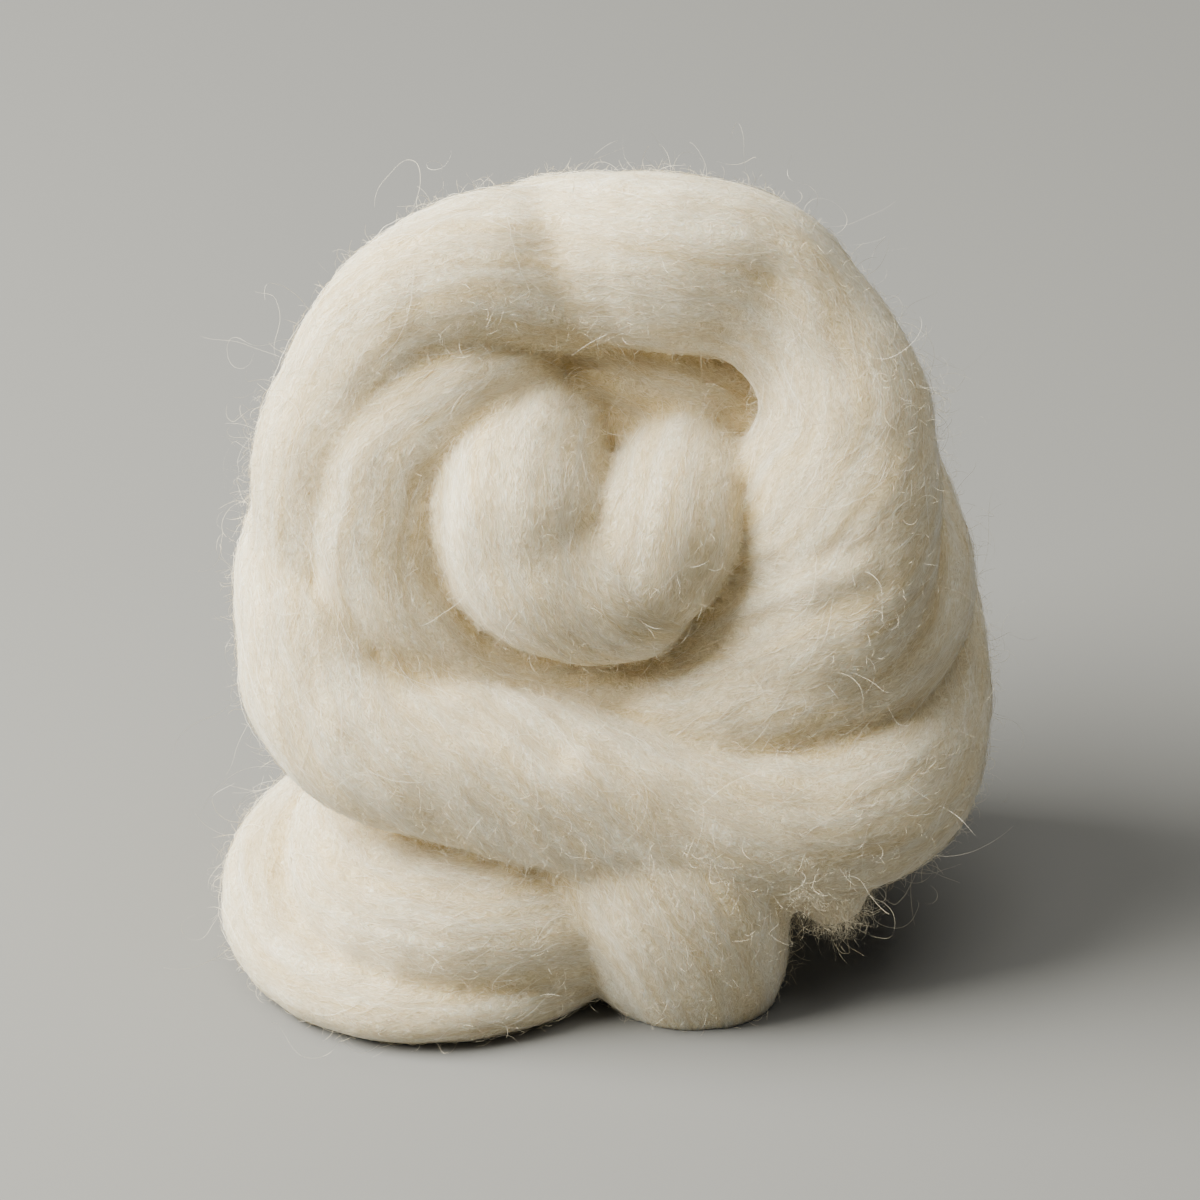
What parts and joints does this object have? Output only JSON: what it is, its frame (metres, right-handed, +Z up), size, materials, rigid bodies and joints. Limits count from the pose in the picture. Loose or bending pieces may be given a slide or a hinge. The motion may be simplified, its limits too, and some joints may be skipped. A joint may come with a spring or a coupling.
{
  "type": "wool roving",
  "caption": "Hand-wound bundle of thick undyed wool roving, its spiral of turns showing on one face, standing on its last loops; for spinning or felting.",
  "frame": {"origin": "middle of the bounding box's bottom, on the surface that the bundle stands on", "axes": "+Z up, -Y the way the spiral face looks, +X to the right of that face"},
  "size_m": [0.1524, 0.1169, 0.1579],
  "materials": {
    "undyed_wool": "matt combed wool with a soft halo of loose fibres"
  },
  "bodies": {
    "root": {"wound_roving": "undyed_wool"}
  },
  "joints": []
}
